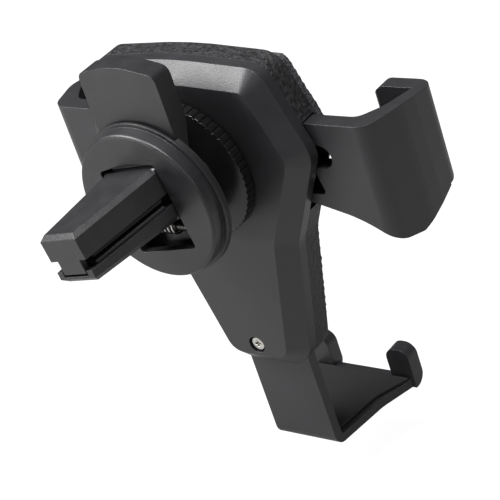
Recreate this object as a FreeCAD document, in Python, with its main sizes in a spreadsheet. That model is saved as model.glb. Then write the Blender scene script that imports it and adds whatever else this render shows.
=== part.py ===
# Air vent phone holder: a gravity cradle with two side arms and a foot, on a ball-jointed vent clip.
# Millimetres. X is across the cradle, Y points from the held slab towards the vent, Z is up.
# The origin is the middle of the pad's front face, level with the middle of the held slab.
import FreeCAD, Part
import math
import os

import Sketcher

doc = FreeCAD.newDocument("VentHolder")
sheet = doc.addObject("Spreadsheet::Sheet", "Sizes")

DRIVING_SIZES = {
    "grip_width": 75.9,             # between the two side pads, at rest
    "slab_drop": 75.45,             # from the origin down to the foot pad
    "pad_thickness": 2.5,           # foam pad on the front
    "pad_inset": 3.1,
    "parting_depth": 9.25,          # where the two shells meet
    "shell_side": 2.4,              # straight side of the rear shell, behind the parting
    "shell_wall": 2.0,
    "bevel_inset": 3.7,             # rear bevel, seen from behind
    "bevel_depth": 3.2,
    "front_bevel_inset": 3.0,
    "front_bevel_depth": 2.2,
    "crown_height": 17.5,           # shell outline, right half, from the top down
    "crown_radius": 120.0,
    "shoulder_half": 21.5,
    "shoulder_height": 16.0,
    "shoulder_radius": 5.2,
    "widest_half": 27.6,
    "widest_top": -1.0,
    "widest_bottom": -4.0,
    "widest_radius": 6.5,
    "waist_half": 17.6,
    "waist_height": -23.5,
    "waist_radius": 14.0,
    "tail_half": 10.0,
    "tail_height": -54.9,
    "tail_radius": 7.0,
    "upper_boss_across": 16.5,
    "upper_boss_height": 10.5,
    "boss_radius": 2.4,
    "tail_screw_height": -48.6,
    "screw_radius": 1.0,
    "screw_head_radius": 1.5,
    "screw_head_height": 1.35,
    "screw_head_clearance": 0.45,
    "recess_length": 1.5,
    "recess_width": 0.5,
    "recess_depth": 0.7,
    "rail_width": 1.2,              # ribs that the arms slide on
    "rib_drop": 3.0,                # stem ribs below the waist
    "rib_length": 8.0,
    "rail_inner": 10.0,
    "rail_outer": 19.0,
    "arm_thickness": 3.6,
    "sliding_gap": 0.2,
    "arm_top": 3.0,
    "arm_inner": 9.7,
    "arm_bottom_inner": -14.6,
    "arm_wall": 3.0,
    "liner_thickness": 2.0,
    "arm_rear_radius": 4.0,
    "arm_front_radius": 4.5,
    "arm_draft": 0.2,               # the side wall leans in by this much towards the plate
    "arm_turn_depth": 0.5,
    "arm_turn_reach": 3.6,
    "hook_tip": 29.3,
    "hook_thickness": 3.5,
    "hook_throat": 9.0,             # from the rest plane to the inside of the hooks
    "hook_top": 1.0,
    "hook_bottom_tip": -11.5,
    "hook_bottom_outer": -18.6,
    "hook_corner_radius": 3.2,
    "arm_low_point": -24.3,
    "arm_wave_inner": 21.5,         # the wave in the plate's lower edge
    "arm_wave_outer": 34.0,
    "arm_wave_drop": 3.3,
    "arm_wave_radius": 30.0,
    "arm_corner_radius": 4.0,
    "arm_belly_depth": -4.0,        # the wall's outer face bulges a little here
    "arm_belly_radius": 20.0,
    "arm_shoulder_radius": 12.0,
    "arm_turn_radius": 6.0,
    "arm_edge_radius": 1.2,
    "liner_heel_depth": 4.0,
    "liner_heel_reach": 4.9,
    "arm_front_low": -17.6,
    "guide_slot_height": -4.2,
    "guide_slot_width": 5.0,
    "guide_slot_inner": 10.55,
    "guide_slot_outer": 30.4,
    "guide_boss_across": 18.45,
    "guide_boss_radius": 2.3,
    "light_window_top": -8.1,       # lightening window in each arm
    "light_window_bottom": -12.7,
    "light_window_inner": 14.0,
    "light_window_outer_top": 25.4,
    "light_window_outer_bottom": 26.5,
    "cam_pin_across": 12.5,
    "cam_pin_height": 0.8,
    "cam_pin_radius": 1.4,
    "cam_clearance": 0.1,
    "cam_ratio": 1.35,              # arm travel for each millimetre of foot travel
    "foot_up": 4.0,
    "foot_down": 6.0,
    "cam_plate_front": 9.4,
    "cam_plate_thickness": 2.0,
    "cam_plate_top": 10.0,
    "cam_plate_top_half": 6.0,
    "cam_plate_half": 21.0,
    "cam_plate_side_top": -0.6,
    "cam_plate_side_bottom": -3.8,
    "cam_neck_half": 6.0,
    "cam_neck_bottom": -30.0,
    "foot_plate_front": 7.65,
    "foot_plate_thickness": 2.3,
    "foot_half": 8.1,
    "foot_stem_top": -23.0,
    "foot_floor_thickness": 2.0,
    "foot_pad_thickness": 0.9,
    "foot_bend_radius": 3.0,
    "foot_mid_half": 10.0,
    "foot_mid_depth": -5.15,
    "foot_waist_radius": 12.0,
    "prong_outer": 14.0,
    "prong_width": 6.0,
    "prong_thickness": 3.5,
    "prong_front": 16.5,
    "prong_top": -68.5,
    "prong_tip_radius": 2.6,
    "floor_front": 15.0,
    "foot_slot_clearance": 0.25,
    "spring_wire": 0.35,
    "spring_radius": 1.2,
    "spring_pitch": 1.25,
    "spring_depth": 11.2,
    "spring_ledge": -46.0,
    "ball_height": -4.8,
    "ball_stand_off": 3.05,         # ball centre behind the rear shell
    "ball_radius": 5.0,
    "ball_clearance": 0.05,
    "ball_neck_radius": 2.8,
    "rivet_radius": 3.8,
    "rivet_height": 0.95,
    "cup_radius": 7.45,
    "cup_wall": 1.0,
    "running_gap": 0.07,
    "collar_radius": 9.8,
    "collar_height": 5.25,
    "finger_slot": 1.2,
    "ring_radius": 15.0,
    "ring_grip_width": 2.4,
    "ring_shell_gap": 0.35,
    "ring_lid_gap": 0.15,
    "ring_lid": 0.6,
    "ring_rear_half": 9.6,
    "ring_mouth": 6.2,
    "knurl_count": 60.0,
    "knurl_radius": 0.3,
    "bowl_gap": 1.55,               # between the ring and the bowl
    "bowl_front_radius": 7.0,
    "bowl_height": 3.0,
    "lip_radius": 16.8,
    "bowl_wall": 1.6,
    "rim_height": 1.0,
    "cover_radius": 16.0,
    "cover_height": 3.6,
    "cover_wall": 1.6,
    "cover_edge_radius": 0.6,
    "lip_height": 0.6,
    "jaw_roll": 10.5,               # degrees that the cover and jaws stand round from the tongue
    "window_half": 7.7,
    "window_top": 3.9,
    "window_bottom": -14.7,
    "window_crown": 1.0,            # rise of the window's upper edge in the middle
    "window_crown_radius": 12.0,
    "jaw_neck_half": 6.2,           # inside the cover
    "jaw_half": 7.3,
    "jaw_tip_half": 5.0,
    "jaw_length": 22.0,
    "jaw_top": 3.2,
    "jaw_tip_top": 3.0,
    "jaw_brow": 0.9,                # bevel along the tip of the upper jaw
    "jaw_slot_height": -3.6,
    "jaw_slot_gap": 0.8,
    "jaw_pad_thickness": 0.8,
    "jaw_pad_inset": 0.25,          # edge of the jaw pads inside the jaw's side
    "flange_bottom": -8.0,
    "jaw_bottom": -8.3,
    "jaw_tip_bottom": -7.4,
    "jaw_chamfer": 1.0,
    "nose_half": 3.1,               # hook at the tip of the upper jaw, in a notch of the lower one
    "nose_thickness": 1.3,
    "nose_bottom": -5.4,
    "nose_side_gap": 0.35,
    "nose_back_gap": 0.6,
    "nose_below_gap": 0.5,
    "flange_drop": 0.8,             # flange below the lower jaw's face, for the swing of the lever
    "flange_stand": 1.5,
    "flange_thickness": 0.8,
    "flange_half": 11.2,
    "flange_screw_across": 9.9,
    "flange_screw_height": -6.3,
    "lever_flange_gap": 0.65,
    "lever_thickness": 1.1,
    "lever_half": 8.4,
    "lever_arm_inner": 7.1,
    "lever_top": 6.0,
    "tongue_half": 9.8,
    "tongue_inset": 0.5,            # rear face of the tongue in front of the cover's seat
    "tongue_thickness": 4.5,
    "tongue_corner_height": 21.9,
    "tongue_crown_height": 23.9,
    "tongue_corner_radius": 2.0,
    "tongue_crown_radius": 24.0,
    "tongue_wall": 1.8,
    "tongue_root": 3.0,
    "tongue_shoulder": 11.0,
    "notch_bottom": 2.4,
    "pivot_inset": 0.1,
    "pivot_height": -11.0,
    "pivot_radius": 1.0,
    "pivot_boss_radius": 1.75,
    "pivot_lug_width": 1.3,
    "torsion_radius": 1.8,
    "torsion_wire": 0.5,
    "torsion_pitch": 1.1,
    "torsion_half": 3.3,
    "cover_screw_across": 12.2,
    "cover_screw_height": 1.5,
    "post_radius": 2.3,
    "small_screw_radius": 0.9,
    "small_head_radius": 1.3,
    "small_head_height": 0.9,
    "thread_cover": 0.8,            # plastic left over a blind screw hole
}


# A length that knows the cell or the sum of cells that it came from, so that it can bind a property
class Size:
    def __init__(self, amount, text):
        self.amount = amount
        self.text = text

    def __add__(self, other):
        return Size(self.amount + number(other), "(%s + %s)" % (self.text, text(other)))

    def __radd__(self, other):
        return Size(number(other) + self.amount, "(%s + %s)" % (text(other), self.text))

    def __sub__(self, other):
        return Size(self.amount - number(other), "(%s - %s)" % (self.text, text(other)))

    def __rsub__(self, other):
        return Size(number(other) - self.amount, "(%s - %s)" % (text(other), self.text))

    def __mul__(self, other):
        return Size(self.amount * number(other), "(%s * %s)" % (self.text, text(other)))

    def __rmul__(self, other):
        return self * other

    def __truediv__(self, other):
        return Size(self.amount / number(other), "(%s / %s)" % (self.text, text(other)))

    def __neg__(self):
        return Size(-self.amount, "(0 - %s)" % self.text)


def number(value):
    return value.amount if isinstance(value, Size) else float(value)


def text(value):
    return value.text if isinstance(value, Size) else "%.6f" % value


# The named sizes, read as s.grip_width and so on
class NamedSizes:
    pass


s = NamedSizes()
for row, (name, value) in enumerate(DRIVING_SIZES.items(), start=1):
    sheet.set("A%d" % row, name)
    sheet.set("B%d" % row, str(value))
    sheet.setAlias("B%d" % row, name)
    setattr(s, name, Size(value, "Sizes.%s" % name))
doc.recompute()
cos_roll = Size(math.cos(math.radians(s.jaw_roll.amount)), "cos(Sizes.jaw_roll * 1 deg)")
sin_roll = Size(math.sin(math.radians(s.jaw_roll.amount)), "sin(Sizes.jaw_roll * 1 deg)")

# Depths behind the shell, each one stepped from the last
s.shell_depth = s.parting_depth + s.shell_side + s.bevel_depth
s.ball_depth = s.shell_depth + s.ball_stand_off
s.collar_depth = s.shell_depth + s.collar_height
s.ring_grip_depth = s.shell_depth + s.ring_shell_gap + s.ring_grip_width
s.ring_rear = s.collar_depth + s.ring_lid_gap + s.ring_lid
s.bowl_front = s.ring_rear + s.bowl_gap
s.bowl_rim = s.bowl_front + s.bowl_height
s.cover_seat = s.bowl_rim + s.rim_height
s.cover_rear = s.cover_seat + s.cover_height
s.flange_front = s.bowl_front + s.bowl_wall + s.flange_stand
s.lever_front = s.flange_front + s.flange_thickness + s.lever_flange_gap
s.tongue_rear = s.cover_seat - s.tongue_inset
s.tongue_front = s.tongue_rear - s.tongue_thickness
s.pivot_depth = s.cover_seat - s.pivot_inset
s.jaw_tip_depth = s.cover_rear + s.jaw_length

# Places that several pieces share
front_face = s.pad_thickness
arm_front = s.pad_thickness + s.shell_wall + 0.75 + s.sliding_gap
rail_top = arm_front - s.sliding_gap
arm_rear = arm_front + s.arm_thickness
grip_half = s.grip_width / 2
arm_inner_face = grip_half + s.liner_thickness
arm_outer_face = arm_inner_face + s.arm_wall
hook_inner_face = -s.hook_throat
hook_front_face = hook_inner_face - s.hook_thickness
cam_plate_rear = s.cam_plate_front + s.cam_plate_thickness
foot_plate_rear = s.foot_plate_front + s.foot_plate_thickness
foot_floor_top = -s.slab_drop - s.foot_pad_thickness
foot_underside = foot_floor_top - s.foot_floor_thickness
shell_inner_rear = s.shell_depth - s.shell_wall
upper_slot_face = s.jaw_slot_height + s.jaw_slot_gap / 2
lower_slot_face = s.jaw_slot_height - s.jaw_slot_gap / 2
lever_rear = s.lever_front + s.lever_thickness
cover_inner = s.cover_rear - s.cover_wall - 0.2
flange_rear = s.flange_front + s.flange_thickness


def origin_plane(body, role):
    for feature in body.Origin.OriginFeatures:
        if feature.Role == role:
            return feature


def new_body(name):
    body = doc.addObject("PartDesign::Body", name)
    body.Label = name
    return body


# Hold one point of a sketch at a place that is bound to the sheet
def pin_point(sketch, geometry, place, x, y):
    for kind, value, axis in (("DistanceX", x, -2), ("DistanceY", y, -1)):
        if abs(number(value)) < 1e-9:
            sketch.addConstraint(Sketcher.Constraint("PointOnObject", geometry, place, axis))
        elif number(value) > 0:
            row = sketch.addConstraint(Sketcher.Constraint(kind, -1, 1, geometry, place, number(value)))
            sketch.setExpression("Constraints[%d]" % row, text(value))
        else:
            row = sketch.addConstraint(Sketcher.Constraint(kind, geometry, place, -1, 1, -number(value)))
            sketch.setExpression("Constraints[%d]" % row, text(-value))


# A closed outline with straight sides. A corner is (x, y) or (x, y, radius) for a rounded one.
def draw_loop(sketch, corners):
    count = len(corners)
    points = [FreeCAD.Vector(number(corner[0]), number(corner[1]), 0) for corner in corners]
    arrive = []
    leave = []
    arcs = {}
    for i, corner in enumerate(corners):
        here = points[i]
        if len(corner) < 3:
            arrive.append(here)
            leave.append(here)
            continue
        back = (points[i - 1] - here).normalize()
        ahead = (points[(i + 1) % count] - here).normalize()
        half_angle = math.acos(max(-1.0, min(1.0, back.dot(ahead)))) / 2
        radius = number(corner[2])
        reach = radius / math.tan(half_angle)
        centre = here + (back + ahead).normalize() * (radius / math.sin(half_angle))
        arrive.append(here + back * reach)
        leave.append(here + ahead * reach)
        left_turn = (here - points[i - 1]).cross(points[(i + 1) % count] - here).z > 0
        first = arrive[i] if left_turn else leave[i]
        last = leave[i] if left_turn else arrive[i]
        angles = [math.atan2(end.y - centre.y, end.x - centre.x) for end in (first, last)]
        circle = Part.Circle(centre, FreeCAD.Vector(0, 0, 1), radius)
        arcs[i] = (Part.ArcOfCircle(circle, angles[0], angles[1]), left_turn)
    lines = []
    for i in range(count):
        lines.append(sketch.addGeometry(Part.LineSegment(leave[i], arrive[(i + 1) % count]), False))
    for i, corner in enumerate(corners):
        before = lines[i - 1]
        after = lines[i]
        if i not in arcs:
            sketch.addConstraint(Sketcher.Constraint("Coincident", before, 2, after, 1))
            pin_point(sketch, after, 1, corner[0], corner[1])
            continue
        arc = sketch.addGeometry(arcs[i][0], False)
        first, last = (1, 2) if arcs[i][1] else (2, 1)
        sharp = sketch.addGeometry(Part.Point(points[i]), True)
        sketch.addConstraint(Sketcher.Constraint("Tangent", before, 2, arc, first))
        sketch.addConstraint(Sketcher.Constraint("Tangent", arc, last, after, 1))
        sketch.addConstraint(Sketcher.Constraint("PointOnObject", sharp, 1, before))
        sketch.addConstraint(Sketcher.Constraint("PointOnObject", sharp, 1, after))
        pin_point(sketch, sharp, 1, corner[0], corner[1])
        row = sketch.addConstraint(Sketcher.Constraint("Radius", arc, number(corner[2])))
        sketch.setExpression("Constraints[%d]" % row, text(corner[2]))


def draw_circle(sketch, x, y, radius):
    centre = FreeCAD.Vector(number(x), number(y), 0)
    circle = sketch.addGeometry(Part.Circle(centre, FreeCAD.Vector(0, 0, 1), number(radius)), False)
    pin_point(sketch, circle, 3, x, y)
    row = sketch.addConstraint(Sketcher.Constraint("Radius", circle, number(radius)))
    sketch.setExpression("Constraints[%d]" % row, text(radius))


# Shapes for a sketch: a list of corners is a loop, and a tuple of three sizes is a circle
def draw(sketch, shapes):
    for shape in shapes:
        if isinstance(shape, tuple):
            draw_circle(sketch, *shape)
        else:
            draw_loop(sketch, shape)


def sketch_on(body, name, plane, level, shapes, shift=0.0):
    sketch = body.newObject("Sketcher::SketchObject", name)
    sketch.AttachmentSupport = [(origin_plane(body, plane + "_Plane"), "")]
    sketch.MapMode = "FlatFace"
    sketch.setExpression("AttachmentOffset.Base.z", text(-level if plane == "XZ" else level))
    if number(shift) != 0.0:
        sketch.setExpression("AttachmentOffset.Base.y", text(shift))
    draw(sketch, shapes)
    return sketch


# Material from one level of a plane to a higher one
def pad(body, name, plane, start, end, shapes):
    sketch = sketch_on(body, name + "_sketch", plane, start, shapes)
    feature = body.newObject("PartDesign::Pad", name)
    feature.Profile = sketch
    feature.setExpression("Length", text(end - start))
    feature.Reversed = plane == "XZ"
    return feature


# The same, taken away
def cut(body, name, plane, start, end, shapes):
    sketch = sketch_on(body, name + "_sketch", plane, start, shapes)
    feature = body.newObject("PartDesign::Pocket", name)
    feature.Profile = sketch
    feature.setExpression("Length", text(end - start))
    feature.Reversed = plane != "XZ"
    return feature


# A turned shape about the line through the ball, along Y. Corners are (depth, radius).
def turn(body, name, shapes, kind="PartDesign::Revolution"):
    sketch = sketch_on(body, name + "_sketch", "YZ", 0.0, shapes, s.ball_height)
    feature = body.newObject(kind, name)
    feature.Profile = sketch
    feature.ReferenceAxis = (sketch, ["H_Axis"])
    feature.Angle = 360.0
    return feature


def sphere(body, name, radius, kind):
    feature = body.newObject(kind, name)
    feature.AttachmentSupport = [(origin_plane(body, "XY_Plane"), "")]
    feature.MapMode = "FlatFace"
    feature.setExpression("AttachmentOffset.Base.y", text(s.ball_depth))
    feature.setExpression("AttachmentOffset.Base.z", text(s.ball_height))
    feature.setExpression("Radius", text(radius))
    return feature


def edges_where(feature, test):
    doc.recompute()
    names = []
    for i, edge in enumerate(feature.Shape.Edges, start=1):
        if test(edge):
            names.append("Edge%d" % i)
    return names


def bevel_edges(body, name, base, size, test):
    feature = body.newObject("PartDesign::Chamfer", name)
    feature.Base = (base, edges_where(base, test))
    feature.setExpression("Size", text(size))
    return feature


def rectangle(x_low, x_high, y_low, y_high):
    return [(x_low, y_low), (x_high, y_low), (x_high, y_high), (x_low, y_high)]


# A place on the clip, turned about the ball's line as the cover and jaws are
def rolled(across, height, radius):
    rise = height - s.ball_height
    return (across * cos_roll + rise * sin_roll, rise * cos_roll - across * sin_roll + s.ball_height, radius)


# Turn a finished piece about the ball's line in the same way
def roll(item):
    turn_axis = FreeCAD.Vector(0, 1, 0)
    item.Placement = FreeCAD.Placement(FreeCAD.Vector(0, 0, 0), FreeCAD.Rotation(turn_axis, s.jaw_roll.amount))
    item.setExpression("Placement.Rotation.Angle", "Sizes.jaw_roll * 1 deg")
    item.setExpression("Placement.Base.x", text(-s.ball_height * sin_roll))
    item.setExpression("Placement.Base.z", text(s.ball_height - s.ball_height * cos_roll))
    return item


# The right half given from the top down, made whole by its mirror image
def both_halves(right_half, top=None, bottom=None):
    left_half = [(-corner[0],) + tuple(corner[1:]) for corner in reversed(right_half)]
    loop = list(right_half) + ([bottom] if bottom else []) + left_half
    return ([top] if top else []) + loop


def shell_outline():
    right_half = [
        (s.shoulder_half, s.shoulder_height, s.shoulder_radius),
        (s.widest_half, s.widest_top, s.widest_radius),
        (s.widest_half, s.widest_bottom, s.widest_radius),
        (s.waist_half, s.waist_height, s.waist_radius),
        (s.tail_half, s.tail_height, s.tail_radius),
    ]
    return both_halves(right_half, top=(0.0, s.crown_height, s.crown_radius))


# Bevel all round one face of a shell
def face_bevel(body, name, base, level, inset, depth):
    feature = body.newObject("PartDesign::Chamfer", name)
    at_level = lambda edge: all(abs(v.Point.y - number(level)) < 1e-4 for v in edge.Vertexes)
    feature.Base = (base, edges_where(base, at_level))
    feature.ChamferType = "Two distances"
    feature.setExpression("Size", text(depth))
    feature.setExpression("Size2", text(inset))
    return feature


def hollow(body, name, base, level, wall):
    doc.recompute()
    faces = []
    for i, face in enumerate(base.Shape.Faces, start=1):
        if abs(face.BoundBox.YMax - number(level)) < 1e-4 and face.BoundBox.YLength < 1e-4:
            faces.append("Face%d" % i)
    feature = body.newObject("PartDesign::Thickness", name)
    feature.Base = (base, faces)
    feature.setExpression("Value", text(wall))
    feature.Reversed = True
    feature.Join = "Intersection"
    return feature


def foot_slot(body, name, start, end):
    half = s.foot_half + s.foot_slot_clearance
    cut(body, name, "XZ", start, end, [rectangle(-half, half, s.tail_height - 2, s.tail_height + 4)])


def upper_bosses(radius):
    return [(side * s.upper_boss_across, s.upper_boss_height, radius) for side in (1, -1)]


# Rear shell: bevelled housing with the bored collar for the ball cup
def rear_shell():
    body = new_body("rear_shell")
    block = pad(body, "rear_block", "XZ", s.parting_depth, s.shell_depth, [shell_outline()])
    bevelled = face_bevel(body, "rear_bevel", block, s.shell_depth, s.bevel_inset, s.bevel_depth)
    hollow(body, "rear_hollow", bevelled, s.parting_depth, s.shell_wall)
    pad(body, "rear_upper_bosses", "XZ", s.parting_depth, shell_inner_rear + 0.3, upper_bosses(s.boss_radius))
    pad(body, "rear_tail_boss", "XZ", s.parting_depth, shell_inner_rear + 0.1,
        [(0.0, s.tail_screw_height, s.boss_radius)])
    ledge_half = s.boss_radius + 0.3
    pad(body, "spring_ledge", "XZ", foot_plate_rear + s.sliding_gap, shell_inner_rear + 0.1,
        [rectangle(-ledge_half, ledge_half, s.tail_screw_height, s.spring_ledge)])
    pad(body, "collar", "XZ", shell_inner_rear, s.collar_depth, [(0.0, s.ball_height, s.collar_radius)])
    cut(body, "collar_bore", "XZ", shell_inner_rear - 1, s.collar_depth + 1,
        [(0.0, s.ball_height, s.cup_radius + s.running_gap)])
    reach = s.collar_radius + 1
    half = s.finger_slot / 2
    slot_start = s.shell_depth + s.ring_shell_gap
    cut(body, "collar_slot_upright", "XZ", slot_start, s.collar_depth + 1,
        [rectangle(-half, half, s.ball_height - reach, s.ball_height + reach)])
    cut(body, "collar_slot_level", "XZ", slot_start, s.collar_depth + 1,
        [rectangle(-reach, reach, s.ball_height - half, s.ball_height + half)])
    foot_slot(body, "rear_foot_slot", s.parting_depth - 1, foot_plate_rear + s.sliding_gap)
    screw_end = s.shell_depth - s.shell_wall
    cut(body, "rear_upper_holes", "XZ", s.parting_depth - 1, screw_end, upper_bosses(s.screw_radius))
    cut(body, "tail_hole", "XZ", s.parting_depth - 1, s.shell_depth + 1,
        [(0.0, s.tail_screw_height, s.screw_radius + s.sliding_gap / 2)])
    head_seat = s.shell_depth - s.screw_head_height - s.screw_head_clearance
    cut(body, "tail_head_recess", "XZ", head_seat, s.shell_depth + 1,
        [(0.0, s.tail_screw_height, s.screw_head_radius + s.screw_head_clearance)])
    return body


# Front shell: carries the foam pad, the rails and the guide bosses of the arms
def front_shell():
    body = new_body("front_shell")
    block = pad(body, "front_block", "XZ", front_face, s.parting_depth, [shell_outline()])
    bevelled = face_bevel(body, "front_bevel", block, front_face, s.front_bevel_inset, s.front_bevel_depth)
    hollow(body, "front_hollow", bevelled, s.parting_depth, s.shell_wall)
    inner = front_face + s.shell_wall - 0.1
    rails = []
    for low in (s.arm_bottom_inner + 0.6, s.arm_top - s.rail_width - 0.6):
        for side in (1, -1):
            inner_end, outer_end = (s.rail_inner, s.rail_outer) if side > 0 else (-s.rail_outer, -s.rail_inner)
            rails.append(rectangle(inner_end, outer_end, low, low + s.rail_width))
    pad(body, "arm_rails", "XZ", inner, rail_top, rails)
    pad(body, "guide_bosses", "XZ", inner, arm_rear,
        [(side * s.guide_boss_across, s.guide_slot_height, s.guide_boss_radius) for side in (1, -1)])
    pad(body, "front_upper_bosses", "XZ", inner, s.parting_depth, upper_bosses(s.boss_radius))
    pad(body, "front_tail_boss", "XZ", inner, s.parting_depth, [(0.0, s.tail_screw_height, s.boss_radius)])
    rib_inner = s.foot_half + s.foot_slot_clearance
    rib_high = s.waist_height - s.rib_drop
    rib_low = rib_high - s.rib_length
    pad(body, "stem_ribs", "XZ", inner, s.parting_depth,
        [rectangle(rib_inner, rib_inner + s.rail_width, rib_low, rib_high),
         rectangle(-rib_inner - s.rail_width, -rib_inner, rib_low, rib_high)])
    slot_low = s.arm_bottom_inner - 2.1
    slot_high = s.arm_top + 0.3
    slot_inner = s.guide_boss_across + s.guide_boss_radius + 0.5
    outer = s.widest_half + 2
    right_slot = [
        (slot_inner, slot_high),
        (outer, slot_high),
        (outer, slot_low),
        (s.guide_boss_across, slot_low),
        (s.guide_boss_across, s.guide_slot_height - s.guide_slot_width),
        (slot_inner, s.guide_slot_height - s.guide_slot_width),
    ]
    left_slot = [(-corner[0], corner[1]) for corner in reversed(right_slot)]
    cut(body, "arm_slots", "XZ", rail_top, s.parting_depth + 1, [right_slot, left_slot])
    foot_slot(body, "front_foot_slot", s.foot_plate_front - s.sliding_gap, s.parting_depth + 1)
    cut(body, "front_upper_holes", "XZ", front_face - 1, s.parting_depth + 1,
        upper_bosses(s.screw_radius + s.sliding_gap / 2))
    cut(body, "front_head_recesses", "XZ", front_face - 1, front_face + s.screw_head_height + 0.1,
        upper_bosses(s.screw_head_radius + s.screw_head_clearance))
    cut(body, "tail_thread", "XZ", front_face + 1, s.parting_depth + 1,
        [(0.0, s.tail_screw_height, s.screw_radius)])
    return body


# Foam pad on the front: the shell outline, set in
def front_pad():
    outline = doc.addObject("Sketcher::SketchObject", "pad_outline")
    outline.Placement = FreeCAD.Placement(FreeCAD.Vector(0, 0, 0), FreeCAD.Rotation(FreeCAD.Vector(1, 0, 0), 90))
    draw(outline, [shell_outline()])
    doc.recompute()
    inset = doc.addObject("Part::Offset2D", "pad_inset_outline")
    inset.Source = outline
    inset.setExpression("Value", text(-s.pad_inset))
    foam = doc.addObject("Part::Extrusion", "front_pad")
    foam.Base = inset
    foam.DirMode = "Custom"
    foam.Dir = FreeCAD.Vector(0, 1, 0)
    foam.Solid = True
    foam.setExpression("LengthFwd", text(s.pad_thickness))
    foam.Label = "front_pad"
    return foam


# Cross-head screw along Y. The head is at the end that its recess faces.
def add_screw(body, name, across, height, seat, tip, head_side, shaft_radius, head_radius, head_height):
    shaft_start, shaft_end = (tip, seat) if head_side > 0 else (seat, tip)
    head_start, head_end = (seat, seat + head_height) if head_side > 0 else (seat - head_height, seat)
    pad(body, name + "_shaft", "XZ", shaft_start, shaft_end, [(across, height, shaft_radius)])
    pad(body, name + "_head", "XZ", head_start, head_end, [(across, height, head_radius)])
    long_half = s.recess_length / 2
    short_half = s.recess_width / 2
    depth = s.recess_depth
    start, end = (head_end - depth, head_end + 1) if head_side > 0 else (head_start - 1, head_start + depth)
    for way, half_x, half_z in (("level", long_half, short_half), ("upright", short_half, long_half)):
        cut(body, name + "_recess_" + way, "XZ", start, end,
            [rectangle(across - half_x, across + half_x, height - half_z, height + half_z)])


def tail_screw():
    body = new_body("tail_screw")
    seat = s.shell_depth - s.screw_head_height - s.screw_head_clearance
    add_screw(body, "tail_screw", 0.0, s.tail_screw_height, seat, front_face + 2.5, 1, s.screw_radius,
              s.screw_head_radius, s.screw_head_height)
    return body


# A mirrored pair of screws in one node
def screw_pair(name, across, height, seat, tip, head_side, shaft_radius, head_radius, head_height):
    body = new_body(name + "_right")
    add_screw(body, name, across, height, seat, tip, head_side, shaft_radius, head_radius, head_height)
    twin = doc.addObject("Part::Mirroring", name + "_left")
    twin.Source = body
    twin.Base = FreeCAD.Vector(0, 0, 0)
    twin.Normal = FreeCAD.Vector(1, 0, 0)
    both = doc.addObject("Part::Compound", name)
    both.Links = [body, twin]
    both.Label = name
    return both


def upper_screws():
    seat = front_face + s.screw_head_height + 0.1
    return screw_pair("upper_screws", s.upper_boss_across, s.upper_boss_height, seat, shell_inner_rear - 1, -1,
                      s.screw_radius, s.screw_head_radius, s.screw_head_height)


# Coil of round wire along one axis of the frame
def coil(name, upright, wire, mean_radius, pitch, length, places):
    body = new_body(name)
    sketch = body.newObject("Sketcher::SketchObject", name + "_wire")
    sketch.AttachmentSupport = [(origin_plane(body, "XZ_Plane"), "")]
    sketch.MapMode = "FlatFace"
    for axis, value in zip("xyz", places):
        sketch.setExpression("AttachmentOffset.Base." + axis, text(value))
    if upright:
        draw_circle(sketch, mean_radius, 0.0, wire / 2)
        axis_name = "V_Axis"
    else:
        draw_circle(sketch, 0.0, mean_radius, wire / 2)
        axis_name = "H_Axis"
    helix = body.newObject("PartDesign::AdditiveHelix", name + "_helix")
    helix.Profile = sketch
    helix.ReferenceAxis = (sketch, [axis_name])
    helix.Mode = "pitch-height-angle"
    helix.setExpression("Pitch", text(pitch))
    helix.setExpression("Height", text(length))
    return body


def return_spring():
    top = s.cam_neck_bottom
    bottom = s.spring_ledge
    mean_radius = s.spring_radius - s.spring_wire / 2
    length = top - bottom - s.spring_wire - 0.1
    return coil("return_spring", True, s.spring_wire, mean_radius, s.spring_pitch, length,
                (0.0, bottom + s.spring_wire / 2 + 0.05, -s.spring_depth))


# Corners of the line where an arm meets its liner, from the hook to the plate
def liner_line():
    return [
        (arm_inner_face, hook_inner_face),
        (arm_inner_face - s.arm_draft, s.arm_turn_depth),
        (arm_inner_face - s.arm_turn_reach, arm_front),
    ]


def between(first, second, share):
    return tuple(a + (b - a) * share for a, b in zip(first, second))


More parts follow.
